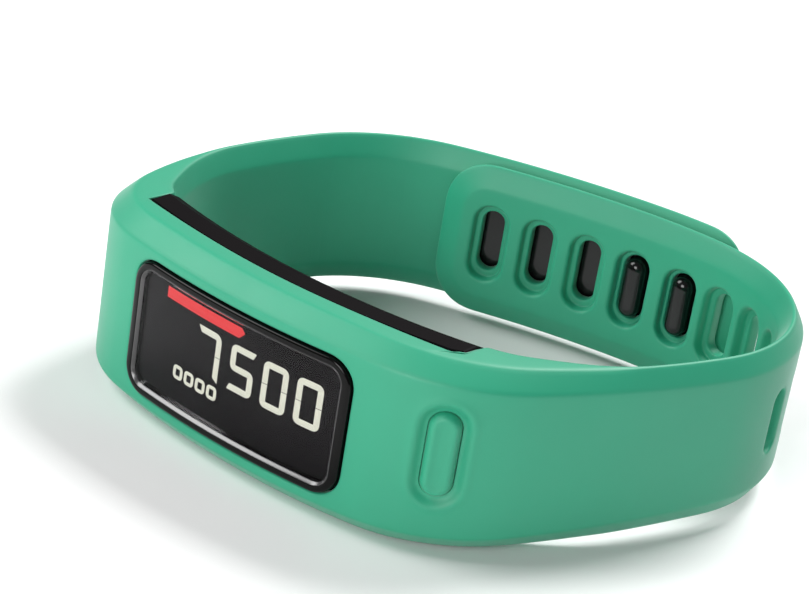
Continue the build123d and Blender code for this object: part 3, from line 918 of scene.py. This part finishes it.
def finishes():
    """One material for each slot of the record."""
    return {
        "silicone": surface("silicone", (0.007, 0.31, 0.172), 0.55, spread=0.03, tone_scale=60.0,
                            grain=0.2, sockets={
                                "Subsurface Weight": 0.08, "Subsurface Scale": 1.0,
                                "Subsurface Radius": (0.0004, 0.0012, 0.0009),
                                "Specular IOR Level": 0.75,
                                "Sheen Weight": 0.18, "Sheen Roughness": 0.4}),
        "peg_plastic": surface("peg_plastic", (0.004, 0.004, 0.004), 0.16, grain=0.02,
                               sockets={"Specular IOR Level": 0.4}),
        "housing_plastic": surface("housing_plastic", (0.005, 0.004, 0.0045), 0.6, grain=0.35,
                                   grain_scale=3800.0, sockets={"Specular IOR Level": 0.06}),
        "bezel_gloss": surface("bezel_gloss", (0.002, 0.002, 0.002), 0.08, grain=0.01,
                               sockets={"Specular IOR Level": 0.16}),
        "lens_glass": clear_lens(),
        "panel_face": surface("panel_face", (0.006, 0.005, 0.006), 0.4, grain=0, tone_scale=400.0,
                              spread=0.12, sockets={"Specular IOR Level": 0.0}),
        "frame_plastic": surface("frame_plastic", (0.07, 0.07, 0.075), 0.5),
        "flex_film": surface("flex_film", (0.45, 0.2, 0.04), 0.4),
        "board_laminate": surface("board_laminate", (0.02, 0.16, 0.06), 0.4, spread=0.12),
        "chip_black": surface("chip_black", (0.03, 0.03, 0.033), 0.5, spread=0.1),
        "can_metal": brushed("can_metal", (0.6, 0.6, 0.62), 0.3, (1, 1, 12)),
        "ceramic": surface("ceramic", (0.5, 0.43, 0.33), 0.45),
        "key_plastic": surface("key_plastic", (0.05, 0.05, 0.055), 0.45),
        "seal_rubber": surface("seal_rubber", (0.04, 0.04, 0.04), 0.65, grain=0.3),
        "cell_steel": brushed("cell_steel", (0.62, 0.62, 0.63), 0.28, (12, 1, 1)),
        "contact_brass": brushed("contact_brass", (0.75, 0.57, 0.25), 0.28, (1, 1, 10)),
        "screw_steel": brushed("screw_steel", (0.35, 0.35, 0.37), 0.3, (1, 1, 8)),
    }


# ------------------------------------------------------------- stage
# The photograph's viewing angle: turn, rise and roll in radians, about a point given from
# the middle of the display
CAMERA_TURN, CAMERA_RISE, CAMERA_ROLL = 0.6305, 0.4416, -0.1651
CAMERA_DISTANCE = 273.3
CAMERA_TARGET = Vector((-1.018, 28.242, 0.706))
CAMERA_LENS = 115.04
# Lights, in metres and watts: name, place, size, power. All face LIGHT_TARGET.
LIGHTS = (("key", (-0.34, -0.24, 0.38), 0.3, 2.0),
          ("fill", (0.10, -0.50, 0.20), 0.24, 1.7),
          ("back", (0.02, 0.34, 0.50), 0.22, 3.8))
LIGHT_TARGET = Vector((0, 0, 0.01))
WORLD_LIGHT = 0.13
FLOOR_SIZE = 2.0                               # metres, half its side


def make_camera():
    turn, rise, roll = CAMERA_TURN, CAMERA_RISE, CAMERA_ROLL
    away = Vector((math.sin(turn) * math.cos(rise), -math.cos(turn) * math.cos(rise),
                   math.sin(rise)))
    right = (-away).cross(Vector((0, 0, 1))).normalized()
    up = right.cross(-away)
    level_right = right * math.cos(roll) - up * math.sin(roll)
    level_up = right * math.sin(roll) + up * math.cos(roll)
    camera = bpy.data.objects.new("camera", bpy.data.cameras.new("camera"))
    camera.data.lens = CAMERA_LENS
    camera.data.clip_start = 0.01
    bpy.context.scene.collection.objects.link(camera)
    turned = Matrix((level_right, level_up, away)).transposed().to_4x4()
    place = (CAMERA_TARGET + FRONT_CENTRE) * MM + away * CAMERA_DISTANCE * MM
    camera.matrix_world = Matrix.Translation(place) @ turned
    bpy.context.scene.camera = camera


def make_floor():
    mesh = bpy.data.meshes.new("floor")
    size = FLOOR_SIZE
    corners = [(-size, -size, 0), (size, -size, 0), (size, size, 0), (-size, size, 0)]
    mesh.from_pydata(corners, [], [(0, 1, 2, 3)])
    floor = bpy.data.objects.new("floor", mesh)
    bpy.context.scene.collection.objects.link(floor)
    paper = surface("floor_paper", (0.88, 0.88, 0.88), 0.85, spread=0.004, grain=0.02)
    floor.data.materials.append(paper)


def area_light(name, place, size, power):
    light = bpy.data.lights.new(name, "AREA")
    light.shape = "RECTANGLE"
    light.size = light.size_y = size
    light.energy = power
    lamp = bpy.data.objects.new(name, light)
    bpy.context.scene.collection.objects.link(lamp)
    turned = (LIGHT_TARGET - Vector(place)).to_track_quat("-Z", "Y").to_matrix().to_4x4()
    lamp.matrix_world = Matrix.Translation(Vector(place)) @ turned


def make_lights():
    world = bpy.data.worlds.new("world")
    bpy.context.scene.world = world
    world.use_nodes = True
    background = world.node_tree.nodes["Background"]
    background.inputs["Color"].default_value = (1, 1, 1, 1)
    background.inputs["Strength"].default_value = WORLD_LIGHT
    for name, place, size, power in LIGHTS:
        area_light(name, place, size, power)
    bpy.context.scene.view_settings.view_transform = "Standard"


# ------------------------------------------------------------- putting it together
SOFT_EDGE, SHARP_FROM = 0.12, 40               # bevel width, and the angle from which it is cut


def soften(thing):
    """A small rounded edge on a CAD piece, so that its edges catch the light."""
    modifier = thing.modifiers.new("edge", "BEVEL")
    modifier.width = SOFT_EDGE * MM
    modifier.segments = 2
    modifier.limit_method = "ANGLE"
    modifier.angle_limit = math.radians(SHARP_FROM)
    modifier.harden_normals = False


def place_piece(piece, body, slot, material, *replaced):
    """Gives a piece its material and body, and hides the CAD nodes it stands for; `slot` is not
    used.
    """
    dress_with(piece, material)
    if replaced:
        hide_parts(*replaced)
    if body:
        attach(piece, body)
    return piece


def dress_with(thing, material):
    thing.data.materials.clear()
    thing.data.materials.append(material)


def strap_mark(s):
    """The row-frame point in the middle of the peg strap at arc length s."""
    return (at(-s, STRAP_THICKNESS / 2, 0) + FRONT_CENTRE) * MM


def build():
    materials = finishes()
    make_camera()
    slots = {entry["node"]: entry["material_slot"] for entry in frame["record"]["subparts"]}
    for name, thing in frame["nodes"].items():
        dress_with(thing, materials[slots[name]])
    silicone = materials["silicone"]
    place_piece(make_band(), "band", "silicone", silicone, "wrist_band")
    flex = place_piece(make_flex_zone(), None, "silicone", silicone, "peg_strap")
    strap_mark(62)
    strap_mark(FLEX_END)
    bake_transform(flex)
    clasp = place_piece(make_clasp_strap(), None, "silicone", silicone, "clasp_strap_end")
    strap_mark(FLEX_END)
    strap_mark(78)
    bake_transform(clasp)
    place_piece(make_button(), "button", "silicone", silicone, "button_pad")
    place_piece(make_bezel(), "module", "bezel_gloss", materials["bezel_gloss"], "bezel")
    # The bevel's grey colour is a painted highlight of the black bezel; its stronger gloss is
    # real.
    edge_highlight = surface("bezel_edge_painted_highlight", (0.045, 0.043, 0.045), 0.25, grain=0.01,
                     sockets={"Specular IOR Level": 1.0})
    place_piece(make_bezel_edge(), "module", "bezel_gloss", edge_highlight)
    # The read-out's segments glow with painted light, in place of the lamp light that the lens
    # holds back.
    cream = painted_glow("lit_cream", (0.76, 0.76, 0.63))
    red = painted_glow("lit_red", (0.83, 0.055, 0.06))
    place_piece(make_numerals(), "module", "panel_face", cream)
    place_piece(make_goal_marks(), "module", "panel_face", cream)
    place_piece(make_progress_bar(), "module", "panel_face", red)
    for name in ("front_housing", "back_cover", "clasp_insert"):
        soften(frame["nodes"][name])
    make_floor()
    make_lights()


build()
